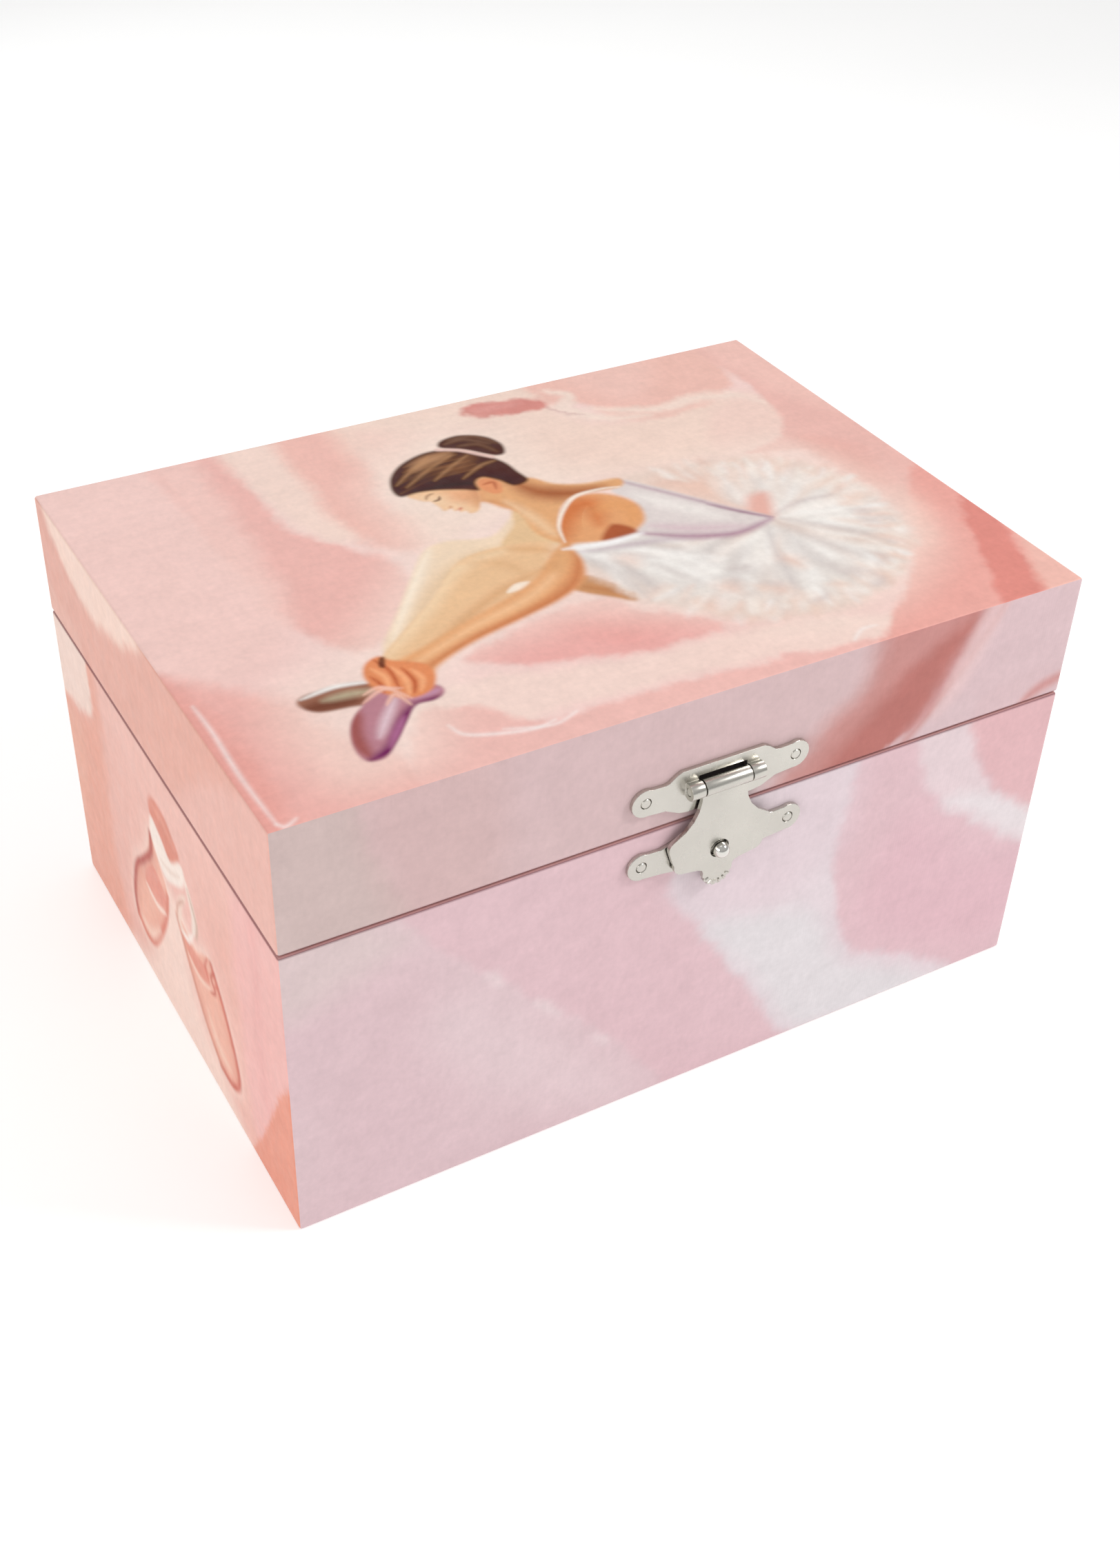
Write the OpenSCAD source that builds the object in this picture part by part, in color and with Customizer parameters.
// Ballerina musical jewellery box: paper-covered board box, front hasp, rear stop hinges,
// mirror, lined compartments, wind-up comb movement and a sprung dancing figurine.
// Origin: centre of the underside. +X right, +Y to the back, +Z up. Drawn closed and latched.

/* [Box] */
// Outside width of the box
box_w = 150; // [148:0.5:156]
// Outside depth of the box
box_d = 106.7; // [106.5:0.1:112]
// Outside height with the lid shut
box_h = 85.4; // [85:0.1:90]
// Height of the seam between body and lid
seam_z = 61.7; // [61.5:0.1:62]
// Clear gap at the seam
seam_gap = 0.3; // [0.2:0.05:0.4]
// Thickness of the board walls
board_t = 4.5; // [4:0.1:4.5]
// Thickness of the printed paper wrap
wrap_t = 0.3; // [0.25:0.05:0.3]
// Thickness of the velvet lining
lining_t = 0.5; // [0.4:0.05:0.5]

/* [Interior] */
// Top of the deck over the movement
deck_z = 44; // [44:0.1:44.2]
// Thickness of deck and dividers
card_t = 1.5; // [1.2:0.1:1.5]
// Front face of the deck and divider
divider_y = -19.5; // [-20:0.5:-18]
// Right edge of the deck
deck_right = -4; // [-5:0.5:-2]
// Diameter of one ring roll
roll_d = 7; // [6:0.5:7]

/* [Hasp] */
// Centre of the hasp along the front
hasp_x = 2; // [-5:0.5:5]
// Height of the hasp's pin
hasp_pin_z = 68.7; // [68.5:0.1:70]
// Thickness of the stamped plates
plate_t = 0.8; // [0.6:0.1:0.8]
// Drop from the pin to the ball stud
stud_drop = 13.9; // [13.5:0.1:15]
// Radius of the ball on the stud
ball_r = 1.45; // [1.4:0.05:1.6]

/* [Hinges] */
// Distance of each hinge from the middle
hinge_x = 45; // [30:1:55]
// Widest angle that the lid opens to
lid_open = 100; // [90:1:105]

/* [Movement] */
// Height of the winding arbor above the table
arbor_z = 21; // [21:0.1:21.1]
// X of the winding arbor and of the dancer's spindle
spindle_x = -20; // [-21:0.5:-20]
// Teeth on the drive wheel
drive_teeth = 36; // [36]
// Teeth on the spindle and cylinder pinions
pinion_teeth = 12; // [12]
// Module of the drive wheel and its pinions
drive_mod = 0.6; // [0.6]
// Teeth on the cylinder's end wheel
end_teeth = 30; // [30]
// Teeth on the governor's pinion
gov_pinion_teeth = 10; // [10]
// Teeth on the governor's worm wheel
worm_teeth = 20; // [20]
// Module of the governor train
gov_mod = 0.4; // [0.4]
// Number of comb teeth
comb_teeth = 18; // [12:1:18]

/* [Figurine] */
// Height of the dancer above her spring
figure_h = 40.5; // [36:0.5:40.5]
// Radius of the tutu
tutu_r = 12.5; // [10:0.5:12.5]
// Length of the spring under the dancer
spring_len = 10; // [10]
// Height of the post under the spring
post_h = 6.8; // [6.8:0.1:7]

/* [Hidden] */
$fn = 48;
eps = 0.01;

// Board shell
half_w = box_w/2;
half_d = box_d/2;
body_top = seam_z - seam_gap/2;
lid_bottom = seam_z + seam_gap/2;
board_x = half_w - wrap_t;            // outer face of the side boards
board_y = half_d - wrap_t;            // outer face of the front and rear boards
in_x = board_x - board_t;             // inner face of the side boards
in_y = board_y - board_t;             // inner face of the front and rear boards
room_x = in_x - lining_t;             // clear room inside the lining
room_y = in_y - lining_t;
floor_z = wrap_t + board_t;           // top of the base board
room_z = floor_z + lining_t;          // top of the floor lining
deck_under = deck_z - card_t;
lid_board_z = box_h - wrap_t - board_t;   // underside of the lid panel
ceiling_z = lid_board_z - lining_t;       // underside of the lid lining

// Hasp and hinges
bore_gap = 0.05;                      // radial running clearance of every pin
knuckle_r = 1.5;
hasp_pin_r = 0.65;
hasp_pin_y = -half_d - plate_t - 0.9;
flap_y = -half_d - plate_t - 0.35;     // rear face of the flap
stud_z = hasp_pin_z - stud_drop;
rivet_r = 0.95;
hinge_r = 1.4;
hinge_pin_r = 0.6;
hinge_y = half_d + hinge_r;
hinge_half = 10;                      // half length of a hinge barrel
stop_ear_t = 1;
leaf_h = 11;
screw_r = 1.3;

// Movement
pitch_r = drive_mod*drive_teeth/2;
pinion_r = drive_mod*pinion_teeth/2;
drive_add = 0.5;
drive_ded = 0.7;
drive_face = 1.6;
crown_y = pinion_r + drive_ded;       // front face of the drive wheel's disc
crown_t = 1.4;
arbor_r = 1.5;
barrel_r = 11.3;
barrel_y = crown_y + crown_t + 0.6;
barrel_depth = 12;
bed_y = barrel_y + barrel_depth;      // front face of the bedplate
bed_t = 2;
cyl_r = 6.5;
cyl_right = -34.2;
cyl_len = 21.8;
cyl_left = cyl_right - cyl_len;
cyl_arbor_r = 0.8;
pin_h = 0.6;                          // height of the cylinder's pins
end_wheel_x = cyl_left - 2.4;
gov_add = 0.3;
gov_ded = 0.5;
gov_drop = gov_mod*(end_teeth + gov_pinion_teeth)/2;
gov_z = arbor_z + gov_drop;
gov_wheel_r = gov_mod*worm_teeth/2;
worm_x = cyl_left - 5;
worm_mean_r = 1.4;
worm_depth = 0.4;
worm_pitch = PI*gov_mod;
worm_turns = 5;
worm_y = gov_wheel_r + worm_mean_r;
frame_x = -66;
frame_t = 1.6;
fan_shaft_top = 38.2;
comb_tip_z = arbor_z + cyl_r + pin_h + 0.1;
comb_root_z = 37;
comb_top_z = 42;
stop_x = -63;
stop_y = 32;
stop_arm_z = fan_shaft_top + 0.1;     // underside of the pad over the governor's shaft
stop_block_z = lid_bottom + 0.1;      // underside of the block in the lid

// Figurine: the spring bends a quarter turn when the lid is shut
bend_r = spring_len/(PI/2);
post_top = deck_z + post_h;
fold_z = post_top + bend_r;
fold_y = -bend_r;

// ---------- helpers ----------

module plate_x(x0, x1, y0, y1, z0, z1) translate([x0, y0, z0]) cube([x1 - x0, y1 - y0, z1 - z0]);

module rod_x(r, x0, x1, y, z) translate([x0, y, z]) rotate([0, 90, 0]) cylinder(r = r, h = x1 - x0);

module rod_y(r, y0, y1, x, z) translate([x, y1, z]) rotate([90, 0, 0]) cylinder(r = r, h = y1 - y0);

module rod_z(r, z0, z1, x, y) translate([x, y, z0]) cylinder(r = r, h = z1 - z0);

// A flat shape drawn in X and Z, standing in the plane y0 and t thick towards the back
module upright(y0, t) translate([0, y0 + t, 0]) rotate([90, 0, 0]) linear_extrude(t) children();

function arc(cx, cy, r, a0, a1, n = 8) =
    [for (i = [0:n]) [cx + r*cos(a0 + (a1 - a0)*i/n), cy + r*sin(a0 + (a1 - a0)*i/n)]];

function mirrored(p) = [for (i = [len(p) - 1:-1:0]) [-p[i][0], p[i][1]]];

function inv(a) = tan(a)*180/PI - a;

// Half the angle that an involute tooth takes up at radius r
function half_tooth(m, n, share, r) =
    let (rp = m*n/2, rb = rp*cos(20), a = r > rb ? acos(rb/r) : 0)
    90/n*share + inv(20) - inv(a);

function gear_points(m, n, add, ded, share) =
    let (rp = m*n/2, rb = rp*cos(20), root = rp - ded, tip = rp + add, low = max(root, rb),
         radii = [root, for (k = [0:3]) low + (tip - low)*k/3 + (k == 0 ? eps : 0)])
    [for (i = [0:n - 1], side = [-1, 1], k = [0:4])
        let (r = radii[side < 0 ? k : 4 - k], a = 360*i/n + side*half_tooth(m, n, share, r))
        [r*cos(a), r*sin(a)]];

module gear(m, n, add, ded, share, face) linear_extrude(face, center = true)
    polygon(gear_points(m, n, add, ded, share));

// ---------- body ----------

module base_board() color("tan")
    plate_x(-in_x, in_x, -in_y, in_y, wrap_t, floor_z);

module front_wall_board() color("tan")
    plate_x(-board_x, board_x, -board_y, -in_y, wrap_t, body_top - wrap_t);

module rear_wall_board() color("tan") difference() {
    plate_x(-board_x, board_x, in_y, board_y, wrap_t, body_top - wrap_t);
    rod_y(3, in_y - 1, board_y + 1, spindle_x, arbor_z);
}

module side_wall_board(side) color("tan") {
    x0 = side < 0 ? -board_x : in_x;
    plate_x(x0, x0 + board_t, -in_y, in_y, wrap_t, body_top - wrap_t);
}

// Paper on the four faces, turned in over the rim
module wrap_shell(z0, z1, rim_z) {
    difference() {
        plate_x(-half_w, half_w, -half_d, half_d, z0, z1);
        plate_x(-board_x, board_x, -board_y, board_y, z0 - 1, z1 + 1);
    }
    difference() {
        plate_x(-half_w, half_w, -half_d, half_d, rim_z, rim_z + wrap_t);
        plate_x(-room_x, room_x, -room_y, room_y, rim_z - 1, rim_z + 1);
    }
}

module body_wrap() color("pink") difference() {
    wrap_shell(0, body_top, body_top - wrap_t);
    rod_y(3, board_y - 1, half_d + 1, spindle_x, arbor_z);
}

module base_paper() color("mistyrose")
    plate_x(-board_x, board_x, -board_y, board_y, 0, wrap_t);

module wall_lining() color("hotpink") difference() {
    plate_x(-in_x, in_x, -in_y, in_y, floor_z, body_top - wrap_t);
    plate_x(-room_x, room_x, -room_y, room_y, floor_z - 1, body_top);
    rod_y(3, room_y - 1, in_y + 1, spindle_x, arbor_z);
}

module floor_lining() color("hotpink")
    plate_x(-room_x, room_x, -room_y, room_y, floor_z, room_z);

module front_divider() color("hotpink")
    plate_x(-room_x, room_x, divider_y, divider_y + card_t, room_z, deck_under);

module deck_side_board() color("hotpink")
    plate_x(deck_right - card_t, deck_right, divider_y + card_t, room_y, room_z, deck_under);

module deck_panel() color("hotpink") difference() {
    plate_x(-room_x, deck_right, divider_y, room_y, deck_under, deck_z);
    rod_z(2.4, deck_under - 1, deck_z + 1, spindle_x, 0);
    rod_z(1.5, deck_under - 1, deck_z + 1, stop_x, stop_y);
}

// Foam block whose top is moulded into rolls for holding rings
module ring_cushion() color("deeppink") {
    y0 = -room_y + 0.3;
    depth = divider_y - 0.3 - y0;
    rolls = floor(depth/roll_d);
    pitch = depth/rolls;
    translate([-room_x + 0.3, 0, 0]) rotate([90, 0, 90]) linear_extrude(2*room_x - 0.6) union() {
        translate([y0, room_z]) square([depth, 20]);
        for (i = [0:rolls - 1]) translate([y0 + pitch*(i + 0.5), room_z + 19.5]) circle(r = pitch/2);
    }
}

// ---------- rear hinges ----------

// Ear beside the barrel, in Y and Z about the hinge axis: two ears meet when the lid is fully open
module stop_ear(x) {
    stop_a = lid_open/2 + 0.5;
    translate([x, hinge_y, seam_z]) rotate([90, 0, 90]) linear_extrude(stop_ear_t) difference() {
        polygon([[0, 0], [3.2*cos(stop_a), -3.2*sin(stop_a)], [0.8, -4.5], [-hinge_r, -5.6],
            [-hinge_r, -1]]);
        circle(r = 0.8);
    }
}

// Leaf hanging below the barrel; own and other are the knuckle spans [x0, x1]
module hinge_leaf(own, other) {
    half = hinge_half + 0.2 + stop_ear_t;
    relief = hinge_r + 0.5;
    difference() {
        union() {
            difference() {
                plate_x(-half, half, half_d, half_d + plate_t, seam_z - leaf_h, seam_z);
                for (s = other) plate_x(s[0] - 0.2, s[1] + 0.2, half_d - 1, half_d + 2, seam_z - relief,
                    seam_z + 1);
                for (s = [-1, 1]) plate_x(s*half - 1.3, s*half + 1.3, half_d - 1, half_d + 2,
                    seam_z - 1, seam_z + 1);
            }
            for (s = own) rod_x(hinge_r, s[0], s[1], hinge_y, seam_z);
            stop_ear(-half);
            stop_ear(half - stop_ear_t);
        }
        for (s = own) rod_x(hinge_pin_r + bore_gap, s[0] - 1, s[1] + 1, hinge_y, seam_z);
        for (x = [-6, 6]) rod_y(0.9, half_d - 1, half_d + 2, x, seam_z - 7.5);
    }
}

outer_knuckles = [[-hinge_half, -5], [5, hinge_half]];
middle_knuckle = [[-4.8, 4.8]];

module hinge_body_leaf(side) color("silver") translate([side*hinge_x, 0, 0])
    hinge_leaf(outer_knuckles, middle_knuckle);

module hinge_lid_leaf(side) color("silver") translate([side*hinge_x, 0, 2*seam_z]) mirror([0, 0, 1])
    hinge_leaf(middle_knuckle, outer_knuckles);

module hinge_pins() color("gainsboro")
    for (x = [-hinge_x, hinge_x]) rod_x(hinge_pin_r, x - hinge_half, x + hinge_half, hinge_y, seam_z);

// Four round-head screws; up is 1 for the lid leaves and -1 for the body leaves
module hinge_screws(up) color("gainsboro")
    for (side = [-1, 1], dx = [-6, 6]) translate([side*hinge_x + dx, half_d, seam_z + up*7.5])
        rotate([90, 0, 0]) {
            translate([0, 0, -plate_t - 0.5]) cylinder(r = screw_r, h = 0.5);
            translate([0, 0, -plate_t - 0.5]) cylinder(r = 0.8, h = plate_t + 4);
        }

// ---------- hasp ----------

lobe_x = 14.4;
lobe_r = 2.65;
hasp_plate_z = 68.4;
window_half = 4.6;

// Half outline shared by the lid plate and the catch plate: a body with chamfered shoulders,
// a shallow notch and a round lobe. high and low are the heights of the body's edges.
function plate_side(high, low) = concat(
    [[7.9, high], [8.9, high - 0.5], [10.2, 2.5], [11, 2.3]],
    arc(lobe_x, 0, lobe_r, 115, -100, 12), [[10.6, -2.9], [8, low + 0.3], [6.4, low]]);

module lobed_plate(high, low)
    polygon(concat(plate_side(high, low), mirrored(plate_side(high, low))));

module hasp_plate() color("silver") difference() {
    union() {
        translate([hasp_x, 0, hasp_plate_z]) upright(-half_d - plate_t, plate_t)
            lobed_plate(4, -4.5);
        for (s = [-1, 1]) translate([hasp_x + s*(window_half + 1.25), 0, 0])
            rod_x(knuckle_r, -1.25, 1.25, hasp_pin_y, hasp_pin_z);
    }
    plate_x(hasp_x - window_half, hasp_x + window_half, -half_d - 2, -half_d + 1,
        hasp_pin_z - knuckle_r - 0.4, hasp_pin_z + knuckle_r + 0.4);
    rod_x(hasp_pin_r + bore_gap, hasp_x - 9, hasp_x + 9, hasp_pin_y, hasp_pin_z);
    for (s = [-1, 1]) rod_y(rivet_r + bore_gap, -half_d - 2, -half_d + 1, hasp_x + s*lobe_x,
        hasp_plate_z);
}

module hasp_pin() color("gainsboro")
    rod_x(hasp_pin_r, hasp_x - 7, hasp_x + 7, hasp_pin_y, hasp_pin_z);

// Half outline of the flap below its pin, from the barrel to the thumb tab
flap_side = concat([[4.35, 0], [4.35, -2.8], [4.75, -4.7], [5.6, -6.5], [7, -8.1]],
    arc(8.3, -11, 1.7, 60, -20, 5), [[9.1, -14]], arc(7, -15, 1.8, 10, -75, 4),
    [[4, -17.3], [3.1, -17.7]]);
tab_z = -18.8;
tab_r = 2.9;

module hasp_flap() color("silver") difference() {
    union() {
        translate([hasp_x, 0, hasp_pin_z]) upright(flap_y - plate_t, plate_t) difference() {
            polygon(concat(flap_side, arc(0, tab_z, tab_r, 10, -190, 14), mirrored(flap_side)));
            for (i = [-3:3]) translate([tab_r*sin(i*24), tab_z - tab_r*cos(i*24)]) circle(r = 0.28);
        }
        rod_x(knuckle_r, hasp_x - 4.35, hasp_x + 4.35, hasp_pin_y, hasp_pin_z);
    }
    rod_x(hasp_pin_r + bore_gap, hasp_x - 9, hasp_x + 9, hasp_pin_y, hasp_pin_z);
    rod_y(ball_r + 0.35, flap_y - 2, flap_y + 2, hasp_x, stud_z);
}

catch_z = stud_z + 0.4;

module catch_plate() color("silver") difference() {
    translate([hasp_x, 0, catch_z]) upright(-half_d - plate_t, plate_t)
        lobed_plate(3.4, -3.6);
    rod_y(0.95, -half_d - 2, -half_d + 1, hasp_x, stud_z);
    for (s = [-1, 1]) rod_y(rivet_r + bore_gap, -half_d - 2, -half_d + 1, hasp_x + s*lobe_x, catch_z);
}

module catch_stud() color("gainsboro") {
    ball_y = flap_y - plate_t - 0.4;
    translate([hasp_x, ball_y, stud_z]) sphere(r = ball_r);
    rod_y(0.9, ball_y, -half_d + 2.5, hasp_x, stud_z);
}

// Two flush rivets through the lobes of a plate at height z
module plate_rivets(z) color("gainsboro")
    for (s = [-1, 1]) rod_y(rivet_r, -half_d - plate_t - 0.08, -half_d + 3, hasp_x + s*lobe_x, z);

// ---------- lid ----------

module lid_panel() color("tan")
    plate_x(-board_x, board_x, -board_y, board_y, lid_board_z, box_h - wrap_t);

module lid_long_board(y0) color("tan")
    plate_x(-board_x, board_x, y0, y0 + board_t, lid_bottom + wrap_t, lid_board_z);

module lid_side_board(x0) color("tan")
    plate_x(x0, x0 + board_t, -in_y, in_y, lid_bottom + wrap_t, lid_board_z);

module lid_wrap() color("pink") {
    wrap_shell(lid_bottom, box_h, lid_bottom);
    plate_x(-board_x - eps, board_x + eps, -board_y - eps, board_y + eps, box_h - wrap_t, box_h);
}

module lid_lining() color("hotpink") difference() {
    plate_x(-in_x, in_x, -in_y, in_y, lid_bottom + wrap_t, lid_board_z);
    plate_x(-room_x, room_x, -room_y, room_y, lid_bottom, ceiling_z);
}

mirror_w = 92;
mirror_d = 64;
mirror_t = 2;

module lid_mirror() color("lightblue")
    plate_x(-mirror_w/2, mirror_w/2, -mirror_d/2, mirror_d/2, ceiling_z - mirror_t, ceiling_z);

module mirror_trim() color("deeppink") difference() {
    plate_x(-mirror_w/2 - 4, mirror_w/2 + 4, -mirror_d/2 - 4, mirror_d/2 + 4,
        ceiling_z - mirror_t - 0.8, ceiling_z);
    plate_x(-mirror_w/2 - 0.1, mirror_w/2 + 0.1, -mirror_d/2 - 0.1, mirror_d/2 + 0.1,
        ceiling_z - mirror_t - 0.1, ceiling_z + 1);
    plate_x(-mirror_w/2 + 1.5, mirror_w/2 - 1.5, -mirror_d/2 + 1.5, mirror_d/2 - 1.5,
        ceiling_z - mirror_t - 2, ceiling_z);
}

// Block inside the lid that pushes the stop rod down as the lid shuts
module lid_stop_block() color("hotpink")
    plate_x(-room_x, stop_x + 3, stop_y - 4, stop_y + 4, stop_block_z, stop_block_z + 6);

// ---------- winding ----------

key_y = half_d + 2;

module key_escutcheon() color("silver") difference() {
    union() {
        rod_y(6, half_d, half_d + 0.6, spindle_x, arbor_z);
        rod_y(2.9, in_y, half_d + 0.6, spindle_x, arbor_z);
    }
    rod_y(1.9, in_y - 1, half_d + 2, spindle_x, arbor_z);
}

module winding_arbor() color("silver") {
    rod_y(arbor_r, 2.2, half_d + 8, spindle_x, arbor_z);
    rod_y(2.1, 1.2, 2.2, spindle_x, arbor_z);
}

module ratchet_wheel() color("darkkhaki") translate([spindle_x, crown_y - 0.3, arbor_z])
    rotate([90, 0, 0]) linear_extrude(1.4) difference() {
        polygon([for (i = [0:11], k = [0, 1])
            (k == 0 ? 5.4 : 4.3)*[cos(30*i + k*4), sin(30*i + k*4)]]);
        circle(r = arbor_r + 0.02);
    }

// Pawl on the face of the drive wheel, with its tip just clear of the ratchet's teeth
module ratchet_click() color("silver") translate([spindle_x, crown_y, arbor_z]) rotate([90, 0, 0]) {
    pivot = [7.6, -0.6];
    translate([0, 0, 0.3]) linear_extrude(1.2) {
        polygon([[6.5, -0.8], [8.6, -0.2], [5.9, 3], [5.1, 2.4]]);
        translate(pivot) circle(r = 1.2);
    }
    translate(pivot) cylinder(r = 0.8, h = 1.7);
}

// Stamped butterfly bow on a threaded sleeve
module winding_key() color("silver") difference() {
    union() {
        rod_y(2.6, key_y, key_y + 9, spindle_x, arbor_z);
        translate([spindle_x, key_y + 6.5, arbor_z]) linear_extrude(1.6, center = true)
            difference() {
                union() {
                    for (s = [-1, 1]) translate([s*6, 5.5]) circle(r = 5.2);
                    translate([-2.6, 0]) square([5.2, 7]);
                    translate([-6, 3]) square([12, 5]);
                }
                for (s = [-1, 1]) translate([s*6.6, 5.8]) circle(r = 2.2);
            }
    }
    rod_y(arbor_r + 0.02, key_y - 1, half_d + 8.2, spindle_x, arbor_z);
}

// ---------- movement ----------

// Contrate wheel: its teeth stand on the front of the disc, towards the pinions
module drive_wheel() color("goldenrod") translate([spindle_x, crown_y, arbor_z]) rotate([90, 0, 0])
    difference() {
        tooth_t = PI*drive_mod*0.4;
        slope = tan(20);
        depth = drive_add + drive_ded;
        low_half = tooth_t/2 + drive_ded*slope;
        union() {
            translate([0, 0, -crown_t]) cylinder(r = pitch_r + drive_face/2, h = crown_t);
            for (i = [0:drive_teeth - 1]) rotate([0, 0, i*360/drive_teeth])
                translate([pitch_r - drive_face/2, 0, 0]) rotate([90, 0, 90])
                    linear_extrude(drive_face - 0.05)
                        polygon([[-low_half, -0.2], [low_half, -0.2],
                            [low_half - depth*slope, depth], [depth*slope - low_half, depth]]);
        }
        translate([0, 0, -crown_t - 1]) cylinder(r = arbor_r + bore_gap, h = crown_t + 2);
    }

// Bedplate casting: upright plate, foot, cylinder post, comb boss and spindle bracket
module movement_bedplate() color("lightgray") difference() {
    union() {
        plate_x(frame_x, -7, bed_y, bed_y + bed_t, room_z, comb_top_z);
        plate_x(-62, -10, bed_y, bed_y + 11, room_z, room_z + 2);
        plate_x(-33.8, -32.2, -2.5, bed_y + eps, arbor_z - 2.5, arbor_z + 2.5);
        plate_x(cyl_left + 0.2, cyl_right - 0.2, 0.9, bed_y + eps, comb_root_z, comb_top_z);
        plate_x(spindle_x - 4, spindle_x + 4, -4, bed_y + eps, 34, 37);
    }
    rod_y(arbor_r + bore_gap, bed_y - 1, bed_y + bed_t + 1, spindle_x, arbor_z);
    rod_x(cyl_arbor_r + bore_gap, -35, -31, 0, arbor_z);
    rod_z(1.2 + bore_gap, 33, 38, spindle_x, 0);
    for (x = [-56, -14]) rod_z(1.3, room_z - 1, room_z + 3, x, bed_y + 7);
    for (x = [-52, -38]) rod_y(0.8, -1, 8, x, 39.5);
    plate_x(stop_x - 1.5, worm_x + 1.5, bed_y - 1, bed_y + bed_t + 1, stop_arm_z - 0.5, comb_top_z + 1);
}

module spring_housing() color("gold") difference() {
    rod_y(barrel_r, barrel_y, bed_y, spindle_x, arbor_z);
    rod_y(barrel_r - 0.7, barrel_y + 0.7, bed_y + 1, spindle_x, arbor_z);
    rod_y(2.4, barrel_y - 1, bed_y, spindle_x, arbor_z);
}

// Spiral of flat spring steel, d thick outwards
coils = 6;
coil_steps = 24*coils;
coil_in = 2.6;
coil_out = barrel_r - 1.4;

function spiral(t, d) = let (r = coil_in + (coil_out - coil_in)*t/coil_steps + d, a = 15*t)
    [r*cos(a), r*sin(a)];

module mainspring() color("slategray")
    translate([spindle_x, bed_y - 0.8, arbor_z]) rotate([90, 0, 0])
        linear_extrude(barrel_depth - 2.4) polygon(concat(
            [for (t = [0:coil_steps]) spiral(t, 0)], [for (t = [coil_steps:-1:0]) spiral(t, 0.4)]));

module comb() color("lightsteelblue") difference() {
    pitch = cyl_len/comb_teeth;
    union() {
        plate_x(cyl_left + 0.2, cyl_right - 0.2, -0.9, 0.8, comb_root_z, comb_top_z - 0.2);
        for (i = [0:comb_teeth - 1]) plate_x(cyl_left + pitch*(i + 0.5) - 0.42,
            cyl_left + pitch*(i + 0.5) + 0.42, -0.3, 0.3, comb_tip_z, comb_root_z + 0.5);
    }
    for (x = [-52, -38]) rod_y(0.9, -2, 2, x, 39.5);
}

// Two screws in the comb and two in the foot
module movement_screws() color("gainsboro") {
    for (x = [-52, -38]) {
        rod_y(1.7, -1.9, -0.95, x, 39.5);
        rod_y(0.75, -1.9, 7, x, 39.5);
    }
    for (x = [-56, -14]) {
        rod_z(2.3, room_z + 2.02, room_z + 3.4, x, bed_y + 7);
        rod_z(1.2, 1.2, room_z + 3.4, x, bed_y + 7);
    }
}

module governor_frame() color("ivory") difference() {
    union() {
        plate_x(frame_x, frame_x + frame_t, -3, bed_y - 0.02, arbor_z - 4, 35.2);
        for (z = [[19.6, 22.4], [33.9, 35.2]])
            plate_x(frame_x + frame_t - eps, worm_x + 1.6, worm_y - 1.6, worm_y + 4, z[0], z[1]);
    }
    rod_x(cyl_arbor_r + bore_gap, frame_x - 1, frame_x + 3, 0, arbor_z);
    rod_x(0.6 + bore_gap, frame_x - 1, frame_x + 3, 0, gov_z);
    rod_z(0.5 + bore_gap, 21, 37, worm_x, worm_y);
}

// Brass drum with a pattern of tune pins
module music_cylinder() color("gold") {
    pitch = cyl_len/comb_teeth;
    difference() {
        rod_x(cyl_r, cyl_left, cyl_right, 0, arbor_z);
        rod_x(cyl_arbor_r + 0.02, cyl_left - 1, cyl_right + 1, 0, arbor_z);
    }
    for (i = [0:comb_teeth - 1], k = [0:2])
        translate([cyl_left + pitch*(i + 0.5), 0, arbor_z]) rotate([20 + 120*k + 47*i, 0, 0])
            translate([0, 0, cyl_r - 0.3]) cylinder(r = 0.17, h = pin_h + 0.3, $fn = 6);
}

module cylinder_arbor() color("darkkhaki") {
    rod_x(cyl_arbor_r, frame_x + 0.2, spindle_x - pitch_r + 1.6, 0, arbor_z);
    translate([spindle_x - pitch_r, 0, arbor_z]) rotate([0, 90, 0]) rotate([0, 0, 180/pinion_teeth])
        gear(drive_mod, pinion_teeth, drive_add, drive_ded, 0.8, drive_face);
    translate([end_wheel_x + 0.75, 0, arbor_z]) rotate([0, 90, 0])
        gear(gov_mod, end_teeth, gov_add, gov_ded, 0.8, 1.5);
}

module governor_wheel() color("goldenrod") {
    rod_x(0.6, frame_x + 0.2, end_wheel_x + 1.8, 0, gov_z);
    translate([end_wheel_x + 0.75, 0, gov_z]) rotate([0, 90, 0]) rotate([0, 0, 180/gov_pinion_teeth])
        gear(gov_mod, gov_pinion_teeth, gov_add, gov_ded, 0.8, 1.7);
    translate([worm_x, 0, gov_z]) rotate([0, 90, 0])
        gear(gov_mod, worm_teeth, gov_add, gov_ded, 0.6, 1);
}

// Single-start worm: an off-centre circle twisted once for every tooth of the wheel
module governor_worm() color("silver") {
    length = worm_pitch*worm_turns;
    translate([worm_x, worm_y, gov_z - length/2])
        linear_extrude(length, twist = -360*worm_turns, slices = 10*worm_turns)
            translate([0, -worm_depth]) circle(r = worm_mean_r, $fn = 12);
    rod_z(0.5, 21.2, fan_shaft_top, worm_x, worm_y);
}

module governor_fan() color("white") difference() {
    union() {
        rod_z(1.2, 35.6, 37.6, worm_x, worm_y);
        translate([worm_x, worm_y, 36.6]) cube([8.4, 0.5, 2], center = true);
    }
    rod_z(0.52, 35, 38, worm_x, worm_y);
}

module spindle_shaft() color("silver") {
    rod_z(1.2, arbor_z + pitch_r - 1.8, post_top - 2, spindle_x, 0);
    translate([spindle_x, 0, arbor_z + pitch_r]) rotate([0, 0, 180/pinion_teeth])
        gear(drive_mod, pinion_teeth, drive_add, drive_ded, 0.8, drive_face);
}

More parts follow.
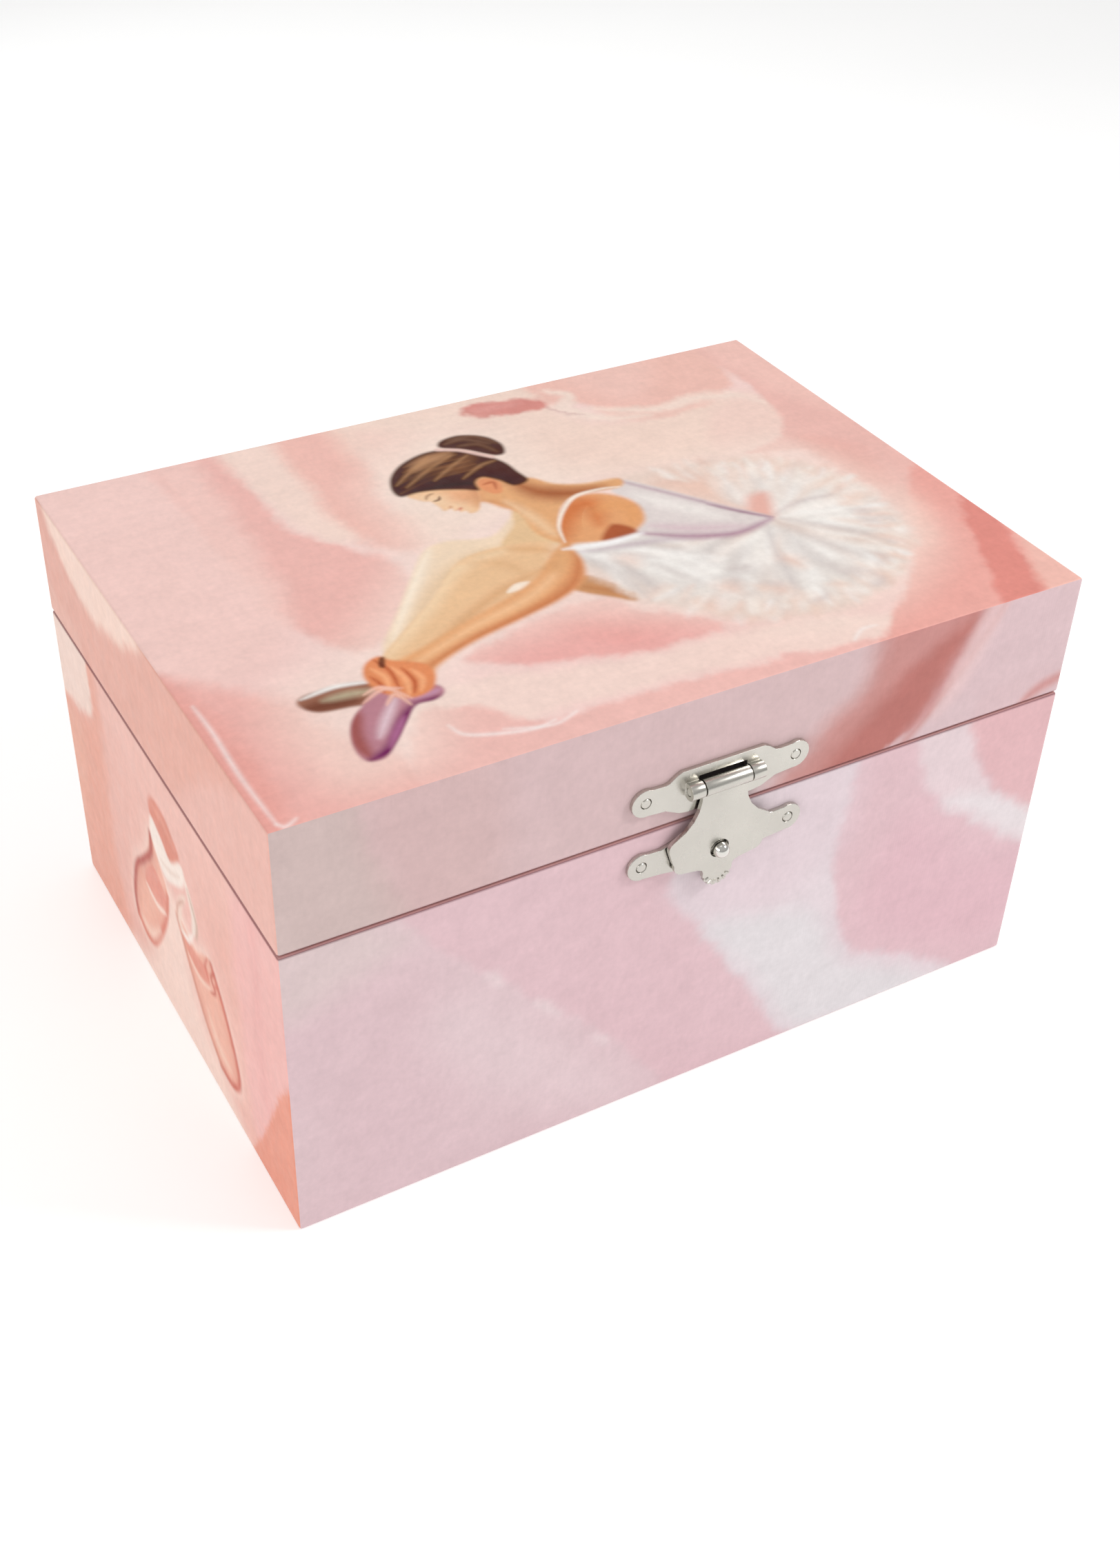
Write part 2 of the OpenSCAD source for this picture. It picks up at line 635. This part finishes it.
module spindle_post() color("hotpink") difference() {
    translate([spindle_x, 0, 0]) {
        translate([0, 0, deck_z + 0.5]) cylinder(r = 5.5, h = 1);
        translate([0, 0, deck_z + 1.4]) cylinder(r1 = 3, r2 = 2, h = post_h - 1.4);
    }
    rod_z(1.22, deck_z, post_top - 1.98, spindle_x, 0);
}

// Bent wire: a pad over the governor shaft, an arm under the deck, a rod and its button
module stop_rod() color("silver") {
    arm = [stop_x - worm_x, stop_y - worm_y];
    rod_z(1.2, stop_arm_z, stop_arm_z + 1.2, worm_x, worm_y);
    translate([worm_x, worm_y, stop_arm_z + 0.6]) rotate([0, 0, atan2(arm[1], arm[0])])
        rotate([0, 90, 0]) cylinder(r = 0.6, h = norm(arm));
    rod_z(0.9, stop_arm_z, stop_block_z - 1, stop_x, stop_y);
    rod_z(2.1, stop_block_z - 2, stop_block_z - 0.05, stop_x, stop_y);
}

// ---------- figurine, drawn standing and then folded forwards ----------

module folded() translate([spindle_x, fold_y, fold_z]) rotate([90, 0, 0]) children();

module figurine_spring() color("silver")
    translate([spindle_x, fold_y, post_top]) rotate([90, 0, 90])
        rotate_extrude(angle = 90) translate([bend_r, 0]) circle(r = 1.9, $fn = 24);

module figurine() color("bisque") folded() {
    waist_z = 19;
    cylinder(r = 2.2, h = 2.2);
    translate([0, 0, 2]) cylinder(r1 = 1, r2 = 1.8, h = waist_z - 2);
    translate([0, 0, waist_z - 0.5]) cylinder(r1 = 1.8, r2 = 2.9, h = 7);
    translate([0, 0, waist_z + 6]) cylinder(r1 = 2.9, r2 = 1, h = 3);
    translate([0, 0, waist_z + 8]) cylinder(r = 1, h = 3);
    translate([0, 0, 31.2]) sphere(r = 2.7);
    translate([0, 1.6, 33.6]) sphere(r = 1.5);
    for (s = [-1, 1]) {
        translate([s*2.6, 0, waist_z + 6.5]) rotate([0, s*34, 0]) cylinder(r = 0.8, h = 7.4);
        translate([s*6.6, 0, waist_z + 12.3]) rotate([0, -s*36, 0])
            cylinder(r = 0.75, h = (figure_h - waist_z - 12.9)/cos(36));
    }
}

module tutu() color("white") folded() difference() {
    translate([0, 0, 17.2]) {
        cylinder(r1 = 6, r2 = tutu_r, h = 1.2);
        translate([0, 0, 1.2]) cylinder(r1 = tutu_r, r2 = 4, h = 2);
    }
    translate([0, 0, 16]) cylinder(r = 2.2, h = 6);
}

base_board();
front_wall_board();
rear_wall_board();
side_wall_board(-1);  // left_wall_board
side_wall_board(1);  // right_wall_board
body_wrap();
base_paper();
wall_lining();
floor_lining();
front_divider();
deck_side_board();
deck_panel();
ring_cushion();
hinge_body_leaf(-1);  // hinge_body_leaf_left
hinge_body_leaf(1);  // hinge_body_leaf_right
hinge_pins();
hinge_screws(-1);  // hinge_body_screws
catch_plate();
catch_stud();
plate_rivets(catch_z);  // catch_rivets
key_escutcheon();
movement_bedplate();
spring_housing();
mainspring();
comb();
movement_screws();
governor_frame();
lid_panel();
lid_long_board(-board_y);  // lid_front_board
lid_long_board(in_y);  // lid_rear_board
lid_side_board(-board_x);  // lid_left_board
lid_side_board(in_x);  // lid_right_board
lid_wrap();
lid_lining();
lid_mirror();  // mirror
mirror_trim();
lid_stop_block();
hinge_lid_leaf(-1);  // hinge_lid_leaf_left
hinge_lid_leaf(1);  // hinge_lid_leaf_right
hinge_screws(1);  // hinge_lid_screws
hasp_plate();
hasp_pin();
plate_rivets(hasp_plate_z);  // hasp_rivets
hasp_flap();
drive_wheel();
ratchet_click();
winding_arbor();
ratchet_wheel();
winding_key();
music_cylinder();
cylinder_arbor();
spindle_shaft();
spindle_post();
governor_wheel();
governor_worm();
governor_fan();
stop_rod();
figurine_spring();
figurine();
tutu();
